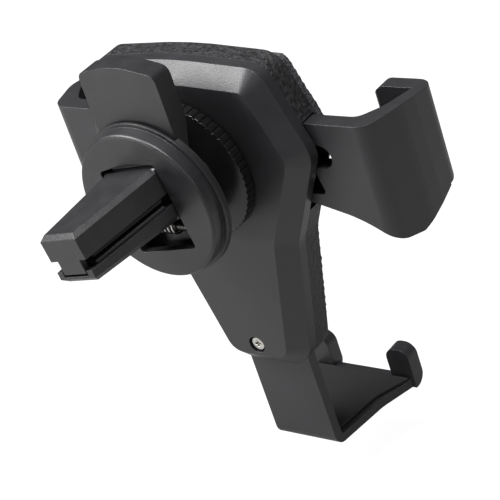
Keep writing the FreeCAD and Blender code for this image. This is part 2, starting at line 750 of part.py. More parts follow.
# One of the two arms: plate inside the housing, side wall and hook round the slab's edge
def arm(name, side):
    body = new_body(name)

    def across(corners):
        placed = [(side * corner[0],) + tuple(corner[1:]) for corner in corners]
        return placed if side > 0 else list(reversed(placed))

    hook_corner, turn_corner, plate_corner = liner_line()
    plan = [
        (s.arm_inner, arm_front),
        plate_corner + (3.0,),
        turn_corner + (s.arm_turn_radius,),
        hook_corner + (0.8,),
        (s.hook_tip, hook_inner_face, s.arm_edge_radius),
        (s.hook_tip, hook_front_face, s.arm_edge_radius),
        (arm_outer_face - 0.5, hook_front_face, s.arm_front_radius),
        (arm_outer_face, s.arm_belly_depth, s.arm_belly_radius),
        (arm_outer_face - 0.1, s.arm_turn_depth, s.arm_shoulder_radius),
        (arm_outer_face - 2.6, arm_rear, s.arm_rear_radius),
        (s.arm_inner, arm_rear),
    ]
    low = s.arm_low_point
    pad(body, name + "_plan", "XY", low, s.arm_top, [across(plan)])
    beyond = arm_outer_face + 2
    under_plate = [
        (s.arm_inner - 1, s.arm_bottom_inner),
        (s.arm_wave_inner, s.arm_bottom_inner, s.arm_wave_radius),
        (s.arm_wave_outer, s.arm_bottom_inner - s.arm_wave_drop, s.arm_wave_radius),
        (arm_outer_face, low + 0.4, s.arm_corner_radius),
        (beyond, low + 0.6),
        (beyond, low - 2),
        (s.arm_inner - 1, low - 2),
    ]
    cut(body, name + "_under", "XZ", hook_front_face - 1, arm_rear + 1, [across(under_plate)])
    level_cut = [
        (hook_front_face - 2, s.arm_front_low),
        (arm_front, low, s.arm_corner_radius),
        (arm_rear + 2, low),
        (arm_rear + 2, low - 2),
        (hook_front_face - 2, low - 2),
    ]
    wall_start, wall_end = (grip_half - 4, beyond) if side > 0 else (-beyond, -grip_half + 4)
    cut(body, name + "_wall_under", "YZ", wall_start, wall_end, [level_cut])
    top_cut = [
        (hook_front_face - 2, s.hook_top),
        (hook_front_face, s.hook_top, 8.0),
        (0.0, s.arm_top, 30.0),
        (arm_rear, s.arm_top),
        (arm_rear, s.arm_top + 2),
        (hook_front_face - 2, s.arm_top + 2),
    ]
    whole_start, whole_end = (s.hook_tip - 1, beyond) if side > 0 else (-beyond, -s.hook_tip + 1)
    cut(body, name + "_top_slope", "YZ", whole_start, whole_end, [top_cut])
    hook_shape = [
        (beyond, s.hook_top + 3),
        (arm_inner_face, s.hook_top + 3),
        (arm_inner_face, s.hook_top, 1.0),
        (s.hook_tip, s.hook_top, s.hook_corner_radius),
        (s.hook_tip, s.hook_bottom_tip, s.hook_corner_radius + 1),
        (arm_inner_face - 1, s.hook_bottom_outer + 0.4, 6.0),
        (beyond, s.hook_bottom_outer - 1.5),
    ]
    frame = rectangle(s.hook_tip - 3, beyond + 1, low - 3, s.arm_top + 4)
    cut(body, name + "_hook_shape", "XZ", hook_front_face - 1, hook_inner_face + 1,
        [across(frame), across(hook_shape)])
    half = s.guide_slot_width / 2
    guide = [
        (s.guide_slot_inner, s.guide_slot_height - half, half - 0.01),
        (s.guide_slot_outer, s.guide_slot_height - half, half - 0.01),
        (s.guide_slot_outer, s.guide_slot_height + half, half - 0.01),
        (s.guide_slot_inner, s.guide_slot_height + half, half - 0.01),
    ]
    window = [
        (s.light_window_inner, s.light_window_bottom, 0.8),
        (s.light_window_outer_bottom, s.light_window_bottom, 0.8),
        (s.light_window_outer_top, s.light_window_top, 0.8),
        (s.light_window_inner, s.light_window_top, 0.8),
    ]
    cut(body, name + "_slots", "XZ", arm_front - 1, arm_rear + 1, [across(guide), across(window)])
    cut(body, name + "_pin_hole", "XZ", arm_front - 1, arm_rear + 1,
        [(side * s.cam_pin_across, s.cam_pin_height, s.cam_pin_radius)])
    return body


# Rubber liner inside an arm
def arm_pad(name, side):
    body = new_body(name)

    def across(corners):
        placed = [(side * corner[0],) + tuple(corner[1:]) for corner in corners]
        return placed if side > 0 else list(reversed(placed))

    hook_corner, turn_corner, plate_corner = liner_line()
    plan = [
        between(hook_corner, turn_corner, 0.1),
        turn_corner + (s.arm_turn_radius,),
        between(turn_corner, plate_corner, 0.75),
        (arm_inner_face - s.liner_heel_reach, s.liner_heel_depth, 0.6),
        (grip_half - 0.1, 0.2, 3.0),
        (grip_half, hook_inner_face + 1.0),
    ]
    low = s.arm_front_low + 1.0
    pad(body, name + "_plan", "XY", low, s.hook_top - 0.6, [across(plan)])
    return body


def cam_pin(name, side):
    body = new_body(name)
    pad(body, name + "_rod", "XZ", arm_front + 0.5, cam_plate_rear - 0.1,
        [(side * s.cam_pin_across, s.cam_pin_height, s.cam_pin_radius)])
    return body


# Foot: cam plate, stem, floor and two prongs in one moulding
def foot():
    body = new_body("foot")
    half_plate = [
        (s.cam_plate_top_half, s.cam_plate_top),
        (s.cam_plate_half, s.cam_plate_side_top),
        (s.cam_plate_half, s.cam_plate_side_bottom),
        (s.cam_plate_half - 2.6, s.cam_plate_side_bottom - 3.2),
        (s.cam_neck_half, s.cam_plate_side_bottom - 8.2),
        (s.cam_neck_half, s.cam_neck_bottom),
    ]
    pad(body, "cam_plate", "XZ", s.cam_plate_front, cam_plate_rear, [both_halves(half_plate)])
    elbow = [
        (s.foot_plate_front, s.foot_stem_top),
        (s.foot_plate_front, foot_floor_top, 0.8),
        (0.0, foot_floor_top),
        (0.0, foot_underside),
        (foot_plate_rear, foot_underside, s.foot_bend_radius),
        (foot_plate_rear, s.foot_stem_top),
    ]
    pad(body, "foot_stem", "YZ", -s.foot_half, s.foot_half, [elbow])
    pad(body, "spring_seat", "XZ", s.cam_plate_front, s.spring_depth + s.spring_radius,
        [rectangle(-s.boss_radius, s.boss_radius, s.cam_neck_bottom, s.cam_neck_bottom + 3)])
    floor_right = [
        (s.foot_half, foot_plate_rear - s.foot_bend_radius),
        (s.foot_mid_half, s.foot_mid_depth, s.foot_waist_radius),
        (s.prong_outer, -s.prong_front + 0.5),
        (s.prong_outer, -s.prong_front),
        (s.prong_outer - s.prong_width, -s.prong_front),
        (s.prong_outer - s.prong_width, -s.floor_front, 1.0),
    ]
    pad(body, "foot_floor", "XY", foot_underside, foot_floor_top, [both_halves(floor_right)])
    prong_inner = s.prong_outer - s.prong_width
    prong = [
        (prong_inner, s.prong_top, s.prong_tip_radius),
        (s.prong_outer, s.prong_top, s.prong_tip_radius),
        (s.prong_outer, foot_underside),
        (prong_inner, foot_underside),
    ]
    other_prong = [(-corner[0],) + tuple(corner[1:]) for corner in reversed(prong)]
    pad(body, "prongs", "XZ", -s.prong_front, -s.prong_front + s.prong_thickness, [prong, other_prong])
    travel_up = s.foot_up + 0.1
    travel_down = s.foot_down + 0.1
    ratio = number(s.cam_ratio)
    along = math.hypot(ratio, 1.0)
    wide = (s.cam_pin_radius + s.cam_clearance) / along
    slot = []
    for end, way in ((travel_down, -1), (travel_up, 1)):
        x = s.cam_pin_across + way * s.cam_ratio * end
        z = s.cam_pin_height - way * end
        reach_x = way * ratio * wide
        reach_z = -way * wide
        for side in (1, -1):
            slot.append((x + reach_x + way * side * wide, z + reach_z + way * side * ratio * wide,
                         s.cam_pin_radius - 0.05))
    left_slot = [(-corner[0],) + tuple(corner[1:]) for corner in reversed(slot)]
    cut(body, "cam_slots", "XZ", s.cam_plate_front - 1, cam_plate_rear + 1, [slot, left_slot])
    boss_half = s.boss_radius + s.foot_slot_clearance
    slot_top = s.tail_screw_height + s.foot_down + s.boss_radius + s.foot_slot_clearance
    slot_bottom = s.tail_screw_height - s.foot_up - s.boss_radius - s.foot_slot_clearance
    cut(body, "boss_slot", "XZ", s.foot_plate_front - 1, foot_plate_rear + 1,
        [[(-boss_half, slot_bottom, boss_half - 0.01), (boss_half, slot_bottom, boss_half - 0.01),
          (boss_half, slot_top, boss_half - 0.01), (-boss_half, slot_top, boss_half - 0.01)]])
    toe = s.prong_thickness * 0.8
    toe_front = -s.prong_front
    toe_scrap = [
        (toe_front - 1, foot_underside - 1),
        (toe_front - 1, foot_underside + toe + 0.1),
        (toe_front, foot_underside + toe + 0.1),
        (toe_front, foot_underside, toe),
        (toe_front + toe + 0.1, foot_underside),
        (toe_front + toe + 0.1, foot_underside - 1),
    ]
    cut(body, "foot_toe", "YZ", -s.prong_outer - 1, s.prong_outer + 1, [toe_scrap])
    return body


def foot_pad():
    body = new_body("foot_pad")
    edge = 1.2
    right = [
        (s.foot_half - edge, s.foot_plate_front - 1.1),
        (s.foot_mid_half - edge, s.foot_mid_depth, s.foot_waist_radius),
        (s.prong_outer - edge, -s.prong_front + s.prong_thickness + 0.3),
    ]
    pad(body, "foot_pad_sheet", "XY", foot_floor_top, -s.slab_drop, [both_halves(right)])
    return body


# Friction cup: a split nylon socket that turns in the collar and grips the ball
def friction_cup():
    body = new_body("friction_cup")
    front = s.ball_depth - s.ball_radius - s.ball_clearance - s.cup_wall
    turn(body, "cup_body", [[(front, 0.0), (s.collar_depth, 0.0), (s.collar_depth, s.cup_radius),
                             (front, s.cup_radius)]])
    sphere(body, "ball_socket", s.ball_radius + s.ball_clearance, "PartDesign::SubtractiveSphere")
    half = s.finger_slot / 2
    reach = s.cup_radius + 1
    for way, half_x, half_z in (("upright", half, reach), ("level", reach, half)):
        cut(body, "cup_slot_" + way, "XZ", s.ball_depth - 1, s.collar_depth + 1,
            [rectangle(-half_x, half_x, s.ball_height - half_z, s.ball_height + half_z)])
    return body


# Ball on its neck, with a riveted end inside the clip
def swivel_ball():
    body = new_body("swivel_ball")
    floor = s.bowl_front + s.bowl_wall
    rivet_start = floor + 0.15
    turn(body, "ball_neck", [[(s.ball_depth, 0.0), (rivet_start + s.rivet_height, 0.0),
                              (rivet_start + s.rivet_height, s.rivet_radius), (rivet_start, s.rivet_radius),
                              (rivet_start, s.ball_neck_radius), (s.ball_depth, s.ball_neck_radius)]])
    sphere(body, "ball", s.ball_radius, "PartDesign::AdditiveSphere")
    return body


# Knurled ring that clamps the collar on the cup
def lock_ring():
    body = new_body("lock_ring")
    start = s.shell_depth + s.ring_shell_gap
    bore = s.collar_radius + s.running_gap
    lip = s.collar_depth + s.ring_lid_gap
    turn(body, "ring_body", [[(start, bore), (lip, bore), (lip, s.ring_mouth), (s.ring_rear, s.ring_mouth),
                              (s.ring_rear, s.ring_rear_half), (s.ring_grip_depth, s.ring_radius),
                              (start, s.ring_radius)]])
    groove = cut(body, "knurl_groove", "XZ", start - 1, s.ring_grip_depth + 2,
                 [(0.0, s.ball_height + s.ring_radius + s.knurl_radius / 3, s.knurl_radius)])
    axis_sketch = sketch_on(body, "ring_axis", "YZ", 0.0, [(0.0, 0.0, 1.0)], s.ball_height)
    knurl = body.newObject("PartDesign::PolarPattern", "knurl")
    knurl.Originals = [groove]
    knurl.Axis = (axis_sketch, ["H_Axis"])
    knurl.Angle = 360.0
    knurl.setExpression("Occurrences", text(s.knurl_count))
    body.Tip = knurl
    return body


def flange_places(radius):
    return [(side * s.flange_screw_across, s.flange_screw_height, radius) for side in (1, -1)]


def cover_places(radius):
    return [(side * s.cover_screw_across, s.cover_screw_height, radius) for side in (1, -1)]


# Front bowl of the clip, with the hub that turns on the ball's neck
def clip_base():
    body = new_body("clip_base")
    inner_rim = s.cover_radius - s.cover_wall
    floor = s.bowl_front + s.bowl_wall
    hub_bore = s.ball_neck_radius + s.running_gap
    turn(body, "bowl", [[(s.bowl_front, hub_bore), (floor, hub_bore), (floor, s.bowl_front_radius),
                         (s.cover_seat, inner_rim), (s.cover_seat, s.lip_radius), (s.bowl_rim, s.lip_radius),
                         (s.bowl_front, s.bowl_front_radius)]])
    notch_half = s.tongue_half + 0.3
    beyond = s.ball_height + s.lip_radius + 2
    pad(body, "flange_posts", "XZ", floor, s.flange_front, flange_places(s.small_head_radius))
    pad(body, "cover_posts", "XZ", s.bowl_rim - 0.8, s.cover_seat, cover_places(s.post_radius))
    lug_start = s.lever_half + s.sliding_gap
    lug = [
        (floor - 0.3, s.pivot_height - s.pivot_boss_radius),
        (s.pivot_depth + s.pivot_boss_radius - 0.3, s.pivot_height - s.pivot_boss_radius, 1.2),
        (s.pivot_depth + s.pivot_boss_radius - 0.3, s.pivot_height + s.pivot_boss_radius, 1.2),
        (floor - 0.3, s.pivot_height + s.pivot_boss_radius),
    ]
    pad(body, "right_lug", "YZ", lug_start, lug_start + s.pivot_lug_width, [lug])
    pad(body, "left_lug", "YZ", -lug_start - s.pivot_lug_width, -lug_start, [lug])
    cut(body, "tongue_notch", "XZ", s.bowl_front - 1, s.cover_seat + 1,
        [rectangle(-notch_half, notch_half, s.notch_bottom, beyond)])
    boss_room = [
        rectangle(s.lever_arm_inner - s.sliding_gap, s.lever_half + s.sliding_gap,
                  s.pivot_height - s.pivot_boss_radius - 0.4, s.pivot_height + s.pivot_boss_radius + 0.4),
        rectangle(-s.lever_half - s.sliding_gap, -s.lever_arm_inner + s.sliding_gap,
                  s.pivot_height - s.pivot_boss_radius - 0.4, s.pivot_height + s.pivot_boss_radius + 0.4),
    ]
    cut(body, "boss_room", "XZ", s.pivot_depth - s.pivot_boss_radius - 0.1, s.cover_seat + 1, boss_room)
    cut(body, "pin_bore", "YZ", -lug_start - s.pivot_lug_width - 1, lug_start + s.pivot_lug_width + 1,
        [(s.pivot_depth, s.pivot_height, s.pivot_radius)])
    cut(body, "cover_screw_holes", "XZ", s.bowl_front, s.cover_seat + 1, cover_places(s.small_screw_radius + 0.1))
    cut(body, "cover_head_recesses", "XZ", s.bowl_front, s.cover_seat - s.thread_cover,
        cover_places(s.small_head_radius + 0.2))
    cut(body, "flange_screw_holes", "XZ", floor - 0.3, s.flange_front + 1, flange_places(s.small_screw_radius))
    return body


# Round cover with the window for the jaws
def clip_cover():
    body = new_body("clip_cover")
    inner_rim = s.cover_radius - s.cover_wall
    lip_top = s.cover_seat + s.lip_height
    turn(body, "cover_cap", [[(cover_inner, 0.0), (s.cover_rear, 0.0),
                              (s.cover_rear, s.cover_radius, s.cover_edge_radius),
                              (lip_top, s.cover_radius), (lip_top, s.lip_radius), (s.cover_seat, s.lip_radius),
                              (s.cover_seat, inner_rim), (cover_inner, inner_rim)]])
    pad(body, "cover_screw_posts", "XZ", s.cover_seat, s.cover_rear - s.thread_cover,
        [(side * s.cover_screw_across, s.cover_screw_height, s.post_radius) for side in (1, -1)])
    cut(body, "jaw_window", "XZ", cover_inner - 1, s.cover_rear + 1,
        [[rolled(-s.window_half, s.window_bottom, 0.8), rolled(s.window_half, s.window_bottom, 0.8),
          rolled(s.window_half, s.window_top, 0.8),
          rolled(Size(0.0, "0"), s.window_top + s.window_crown, s.window_crown_radius),
          rolled(-s.window_half, s.window_top, 0.8)]])
    cut(body, "cover_threads", "XZ", s.cover_seat - 1, s.cover_rear - s.thread_cover - 0.6,
        [(side * s.cover_screw_across, s.cover_screw_height, s.small_screw_radius) for side in (1, -1)])
    return body


# Plan view of a jaw: a neck inside the cover, then narrowing to its tip
def jaw_plan(start):
    neck_end = lever_rear + 0.35
    right_half = [
        (s.jaw_tip_half, s.jaw_tip_depth),
        (s.jaw_half, s.cover_rear),
        (s.jaw_half, neck_end),
        (s.jaw_neck_half, neck_end),
        (s.jaw_neck_half, start),
    ]
    return both_halves(right_half)


# The two long edges of a jaw's sloping outer face
def bevel_jaw(body, name, root_height, tip_end, tip_height):
    fall = (number(tip_height) - number(root_height)) / (number(tip_end) - number(s.cover_rear))

    def on_slope(vertex):
        along = vertex.Point.y - number(s.cover_rear)
        return abs(vertex.Point.z - number(root_height) - fall * along) < 1e-4

    long_edge = lambda edge: (edge.BoundBox.YLength > number(s.jaw_length) / 2
                              and all(on_slope(vertex) for vertex in edge.Vertexes))
    return bevel_edges(body, name, body.Tip, s.jaw_chamfer, long_edge)


def joined(name, first, second):
    both = doc.addObject("Part::Fuse", name)
    both.Base = first
    both.Tool = second
    both.Refine = True
    both.Label = name
    return both


# Lower jaw, fixed to the bowl by a flange, with a notch in its tip for the nose of the upper one
def lower_jaw():
    body = new_body("lower_jaw_bar")
    tip = s.jaw_tip_depth
    top = lower_slot_face - s.jaw_pad_thickness
    pad(body, "lower_jaw_block", "XY", s.jaw_bottom, top, [jaw_plan(s.flange_front + 0.4)])
    toe = s.jaw_chamfer
    slope = [
        (s.cover_rear, s.jaw_bottom),
        (tip - toe, s.jaw_tip_bottom),
        (tip, s.jaw_tip_bottom + toe),
        (tip + 1, s.jaw_tip_bottom + toe),
        (tip + 1, s.jaw_bottom - 1),
        (s.cover_rear, s.jaw_bottom - 1),
    ]
    cut(body, "lower_jaw_slope", "YZ", -s.jaw_half - 1, s.jaw_half + 1, [slope])
    bevel_jaw(body, "lower_jaw_bevel", s.jaw_bottom, tip - toe, s.jaw_tip_bottom)
    notch_half = s.nose_half + s.nose_side_gap
    notch_back = tip - s.nose_thickness - s.nose_back_gap
    cut(body, "nose_notch", "XY", s.nose_bottom - s.nose_below_gap, top + 1,
        [rectangle(-notch_half, notch_half, notch_back, tip + 1)])
    flange = new_body("jaw_flange_plate")
    pad(flange, "jaw_flange", "XZ", s.flange_front, flange_rear,
        [rectangle(-s.flange_half, s.flange_half, s.flange_bottom, top - s.flange_drop)])
    cut(flange, "flange_holes", "XZ", s.flange_front - 1, flange_rear + 1,
        flange_places(s.small_screw_radius + 0.1))
    return joined("lower_jaw", roll(body), flange)


def jaw_pad(name, low):
    body = new_body(name)
    start = s.cover_rear + 1.5
    end = s.jaw_tip_depth - s.nose_thickness - s.nose_back_gap - 0.3
    sheet_right = [(s.jaw_tip_half - s.jaw_pad_inset, end), (s.jaw_half - s.jaw_pad_inset, start)]
    pad(body, name + "_sheet", "XY", low, low + s.jaw_pad_thickness, [both_halves(sheet_right)])
    return roll(body)


# Upper jaw, with a slanted tip and the nose that hooks over the blade
def upper_jaw():
    body = new_body("upper_jaw")
    bottom = upper_slot_face + s.jaw_pad_thickness
    tip = s.jaw_tip_depth
    brow_start = tip - s.jaw_brow
    pad(body, "upper_jaw_block", "XY", bottom, s.jaw_top, [jaw_plan(s.lever_front + 0.4)])
    slope = [
        (s.cover_rear, s.jaw_top),
        (brow_start, s.jaw_tip_top),
        (tip, s.jaw_tip_top - s.jaw_brow),
        (tip + 1, s.jaw_tip_top - s.jaw_brow),
        (tip + 1, s.jaw_top + 1),
        (s.cover_rear, s.jaw_top + 1),
    ]
    cut(body, "upper_jaw_slope", "YZ", -s.jaw_half - 1, s.jaw_half + 1, [slope])
    bevel_jaw(body, "upper_jaw_bevel", s.jaw_top, brow_start, s.jaw_tip_top)
    pad(body, "jaw_nose", "XY", s.nose_bottom, bottom,
        [rectangle(-s.nose_half, s.nose_half, tip - s.nose_thickness, tip)])
    return roll(body)


# Release lever: tongue, pivot arms and upper jaw in one moulding
def release_lever():
    body = new_body("tongue_and_arms")
    bottom = upper_slot_face + s.jaw_pad_thickness
    arm_low = s.pivot_height - s.pivot_boss_radius
    plate = [
        (-s.lever_half, arm_low), (-s.lever_arm_inner, arm_low), (-s.lever_arm_inner, bottom),
        (s.lever_arm_inner, bottom), (s.lever_arm_inner, arm_low), (s.lever_half, arm_low),
        (s.lever_half, s.lever_top), (-s.lever_half, s.lever_top),
    ]
    pad(body, "lever_plate", "XZ", s.lever_front, lever_rear, [plate])
    boss = [
        (s.pivot_depth - s.pivot_boss_radius + 0.4, arm_low, 1.2),
        (lever_rear, arm_low, 1.2),
        (lever_rear, s.pivot_height + s.pivot_boss_radius),
        (s.pivot_depth - s.pivot_boss_radius + 0.4, s.pivot_height + s.pivot_boss_radius, 1.2),
    ]
    pad(body, "right_pivot_boss", "YZ", s.lever_arm_inner, s.lever_half, [boss])
    pad(body, "left_pivot_boss", "YZ", -s.lever_half, -s.lever_arm_inner, [boss])
    root_front = s.tongue_rear - s.tongue_wall
    pad(body, "lever_neck", "YZ", -s.lever_half, s.lever_half,
        [rectangle(root_front, lever_rear, s.tongue_root + 0.2, s.lever_top)])
    tongue_side = [
        (s.tongue_rear, s.tongue_root),
        (s.tongue_rear, s.tongue_crown_height + 3),
        (s.tongue_front, s.tongue_crown_height + 3),
        (s.tongue_front, s.tongue_shoulder, 3.0),
        (root_front, s.tongue_root),
    ]
    pad(body, "tongue_block", "YZ", -s.tongue_half, s.tongue_half, [tongue_side])
    right_tongue = [
        (s.tongue_half, s.tongue_corner_height, s.tongue_corner_radius),
        (s.tongue_half, s.tongue_root - 1),
    ]
    outline = both_halves(right_tongue, top=(0.0, s.tongue_crown_height, s.tongue_crown_radius))
    frame = rectangle(-s.tongue_half - 2, s.tongue_half + 2, s.tongue_root - 2, s.tongue_crown_height + 5)
    cut(body, "tongue_outline", "XZ", s.tongue_front - 1, s.tongue_rear + 0.001, [frame, outline])
    inside = s.tongue_half - s.tongue_wall
    hollow_outline = both_halves(
        [(inside, s.tongue_corner_height - s.tongue_wall, s.tongue_corner_radius - 1.0),
         (inside, s.tongue_shoulder + 1.0, 1.0)],
        top=(0.0, s.tongue_crown_height - s.tongue_wall, s.tongue_crown_radius))
    cut(body, "tongue_hollow", "XZ", s.tongue_front - 1, s.tongue_rear - s.tongue_wall, [hollow_outline])
    cut(body, "pivot_bore", "YZ", -s.lever_half - 1, s.lever_half + 1,
        [(s.pivot_depth, s.pivot_height, s.pivot_radius + s.running_gap)])
    return joined("release_lever", body, upper_jaw())


def lever_pin():
    body = new_body("lever_pin")
    half = s.lever_half + s.sliding_gap + s.pivot_lug_width
    pad(body, "pin_rod", "YZ", -half, half, [(s.pivot_depth, s.pivot_height, s.pivot_radius)])
    return body


def lever_spring():
    mean_radius = s.torsion_radius - s.torsion_wire / 2
    return coil("lever_spring", False, s.torsion_wire, mean_radius, s.torsion_pitch, s.torsion_half * 2,
                (-s.torsion_half, s.pivot_height, -s.pivot_depth))


def cover_screws():
    return screw_pair("cover_screws", s.cover_screw_across, s.cover_screw_height, s.cover_seat - s.thread_cover,
                      s.cover_rear - s.thread_cover * 2, -1, s.small_screw_radius, s.small_head_radius,
                      s.small_head_height)


def flange_screws():
    return screw_pair("flange_screws", s.flange_screw_across, s.flange_screw_height, flange_rear,
                      s.bowl_front + s.bowl_wall + 0.1, 1, s.small_screw_radius, s.small_head_radius,
                      s.small_head_height)


sub_parts = [
    rear_shell(), front_shell(), front_pad(), tail_screw(), upper_screws(), return_spring(),
    arm("left_arm", -1), arm("right_arm", 1), arm_pad("left_arm_pad", -1), arm_pad("right_arm_pad", 1),
    cam_pin("left_cam_pin", -1), cam_pin("right_cam_pin", 1), foot(), foot_pad(),
    friction_cup(), swivel_ball(), lock_ring(), clip_base(), clip_cover(),
    lower_jaw(), release_lever(),
    jaw_pad("lower_jaw_pad", lower_slot_face - s.jaw_pad_thickness), jaw_pad("upper_jaw_pad", upper_slot_face),
    lever_pin(), lever_spring(), cover_screws(), flange_screws(),
]
doc.recompute()

for item in doc.Objects:
    if "Invalid" in item.State or "Error" in item.State:
        raise RuntimeError("%s did not build: %s" % (item.Name, item.State))
    if item.TypeId == "PartDesign::Pocket" and item.BaseFeature:
        if item.BaseFeature.Shape.Volume - item.Shape.Volume < 1e-6:
            raise RuntimeError("%s cuts nothing" % item.Name)
for item in sub_parts:
    if item.Shape.isNull() or not item.Shape.isValid():
        raise RuntimeError("%s has no valid shape" % item.Label)

os.makedirs("parts", exist_ok=True)
for item in sub_parts:
    item.Shape.exportStep("parts/%s.step" % item.Label)
    print("%-16s solids %d volume %.1f" % (item.Label, len(item.Shape.Solids), item.Shape.Volume))
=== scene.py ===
# Air vent phone holder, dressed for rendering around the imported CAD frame. Metres.
import math

import bpy
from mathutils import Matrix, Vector


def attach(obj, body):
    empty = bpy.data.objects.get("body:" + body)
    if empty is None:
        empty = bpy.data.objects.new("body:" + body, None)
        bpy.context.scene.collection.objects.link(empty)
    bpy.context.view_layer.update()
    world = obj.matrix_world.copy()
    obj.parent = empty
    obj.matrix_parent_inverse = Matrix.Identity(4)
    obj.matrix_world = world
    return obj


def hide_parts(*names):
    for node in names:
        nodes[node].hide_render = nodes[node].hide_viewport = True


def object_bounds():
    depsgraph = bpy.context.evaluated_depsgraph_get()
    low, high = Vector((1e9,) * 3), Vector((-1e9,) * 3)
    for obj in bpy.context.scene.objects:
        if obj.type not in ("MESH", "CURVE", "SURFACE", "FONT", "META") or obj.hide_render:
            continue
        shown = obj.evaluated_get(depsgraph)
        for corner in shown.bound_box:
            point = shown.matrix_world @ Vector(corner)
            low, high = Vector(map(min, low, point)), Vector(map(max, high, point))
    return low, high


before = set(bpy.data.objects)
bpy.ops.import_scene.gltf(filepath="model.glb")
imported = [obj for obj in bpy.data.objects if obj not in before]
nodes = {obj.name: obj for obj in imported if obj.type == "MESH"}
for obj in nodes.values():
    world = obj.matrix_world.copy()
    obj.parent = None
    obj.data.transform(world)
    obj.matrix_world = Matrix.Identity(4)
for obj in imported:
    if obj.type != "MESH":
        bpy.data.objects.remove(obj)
lowCorner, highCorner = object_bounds()
print("frame loaded:", len(nodes), "nodes")

mm = 0.001


# sRGB hex to the linear colour that Blender works in
def linearColour(code):
    parts = [int(code[i:i + 2], 16) / 255 for i in (1, 3, 5)]
    parts = [p / 12.92 if p <= 0.04045 else ((p + 0.055) / 1.055) ** 2.4 for p in parts]
    return (*parts, 1.0)


def addNode(tree, kind, settings=None, inputs=None):
    node = tree.nodes.new("ShaderNode" + kind)
    for name, value in (settings or {}).items():
        setattr(node, name, value)
    for name, value in (inputs or {}).items():
        if isinstance(value, bpy.types.NodeSocket):
            tree.links.new(value, node.inputs[name])
        else:
            node.inputs[name].default_value = value
    return node


def newMaterial(name):
    material = bpy.data.materials.new(name)
    material.use_nodes = True
    material.node_tree.nodes.clear()
    return material, material.node_tree


def finishMaterial(tree, settings):
    shader = addNode(tree, "BsdfPrincipled", None, settings)
    addNode(tree, "OutputMaterial", None, {"Surface": shader.outputs["BSDF"]})


# Cloudy patterns run from dark to light over this part of the noise
cloudLow, cloudHigh = 0.3, 0.7
edgeSamples = 6

# Plastic: the size of grain, clouds and rounded edges, and the grain's height (bumpDepth), in mm.
# The grain is drawn a few times coarser than a real one, which would be too fine to show.
plastic = {"grainDetail": 3.0, "cloudDetail": 4.0, "edge": 0.2, "ior": 1.53}
shellLook = {"grain": 0.30, "clouds": 6.0, "dark": "#252527", "light": "#2a2a2d",
             "rough": (0.34, 0.42), "bump": 0.6, "bumpDepth": 0.05}
coarseLook = {"grain": 0.9, "clouds": 0.8, "dark": "#060607", "light": "#2a2a2d",
              "rough": (0.45, 0.65), "bump": 1.0, "bumpDepth": 0.35}
clipLook = {"grain": 0.32, "clouds": 4.0, "dark": "#222224", "light": "#28282a",
            "rough": (0.33, 0.41), "bump": 0.6, "bumpDepth": 0.05}
smoothLook = {"grain": 0.4, "clouds": 5.0, "dark": "#111112", "light": "#161617",
              "rough": (0.2, 0.27), "bump": 0.3, "bumpDepth": 0.02}
# The bowl is black ABS, but its colour is darker than the other pieces': painted shade, so its
# inside seen through the window stays near black
shadedBowlLook = {"grain": 0.5, "clouds": 5.0, "dark": "#0e0e0f", "light": "#141415",
            "rough": (0.55, 0.65), "bump": 0.5, "bumpDepth": 0.05}


# Injection-moulded ABS or acetal from a spark-eroded tool: black and satin, with a sand-like
# grain, slow drifts of tone and gloss, and edges soft enough to catch the light
def mouldedPlastic(name, look):
    material, tree = newMaterial(name)
    place = addNode(tree, "TexCoord").outputs["Object"]
    grain = addNode(tree, "TexNoise", None, {
        "Vector": place, "Scale": 1 / (look["grain"] * mm), "Detail": plastic["grainDetail"]})
    clouds = addNode(tree, "TexNoise", None, {
        "Vector": place, "Scale": 1 / (look["clouds"] * mm), "Detail": plastic["cloudDetail"]})
    tint = addNode(tree, "ValToRGB", None, {"Fac": clouds.outputs["Fac"]})
    tint.color_ramp.elements[0].position = cloudLow
    tint.color_ramp.elements[0].color = linearColour(look["dark"])
    tint.color_ramp.elements[1].position = cloudHigh
    tint.color_ramp.elements[1].color = linearColour(look["light"])
    rough = addNode(tree, "MapRange", None, {
        "Value": clouds.outputs["Fac"], "From Min": cloudLow, "From Max": cloudHigh,
        "To Min": look["rough"][0], "To Max": look["rough"][1]})
    edge = addNode(tree, "Bevel", {"samples": edgeSamples}, {"Radius": plastic["edge"] * mm})
    bump = addNode(tree, "Bump", None, {
        "Strength": look["bump"], "Distance": look["bumpDepth"] * mm,
        "Height": grain.outputs["Fac"], "Normal": edge.outputs["Normal"]})
    finishMaterial(tree, {
        "Base Color": tint.outputs["Color"], "Roughness": rough.outputs["Result"],
        "IOR": plastic["ior"], "Normal": bump.outputs["Normal"]})
    return material


rubber = {"dust": 0.5, "detail": 4.0, "dark": "#161617", "light": "#242425", "edge": 0.3,
          "bump": 0.3, "bumpDepth": 0.03, "rough": 0.72, "ior": 1.41}


# Moulded silicone rubber: deep black and dull, a little dusty
def siliconeRubber():
    material, tree = newMaterial("mattBlackSilicone")
    place = addNode(tree, "TexCoord").outputs["Object"]
    dust = addNode(tree, "TexNoise", None, {
        "Vector": place, "Scale": 1 / (rubber["dust"] * mm), "Detail": rubber["detail"]})
    tint = addNode(tree, "ValToRGB", None, {"Fac": dust.outputs["Fac"]})
    tint.color_ramp.elements[0].color = linearColour(rubber["dark"])
    tint.color_ramp.elements[1].color = linearColour(rubber["light"])
    edge = addNode(tree, "Bevel", {"samples": edgeSamples}, {"Radius": rubber["edge"] * mm})
    bump = addNode(tree, "Bump", None, {
        "Strength": rubber["bump"], "Distance": rubber["bumpDepth"] * mm,
        "Height": dust.outputs["Fac"], "Normal": edge.outputs["Normal"]})
    finishMaterial(tree, {
        "Base Color": tint.outputs["Color"], "Roughness": rubber["rough"],
        "IOR": rubber["ior"], "Normal": bump.outputs["Normal"]})
    return material
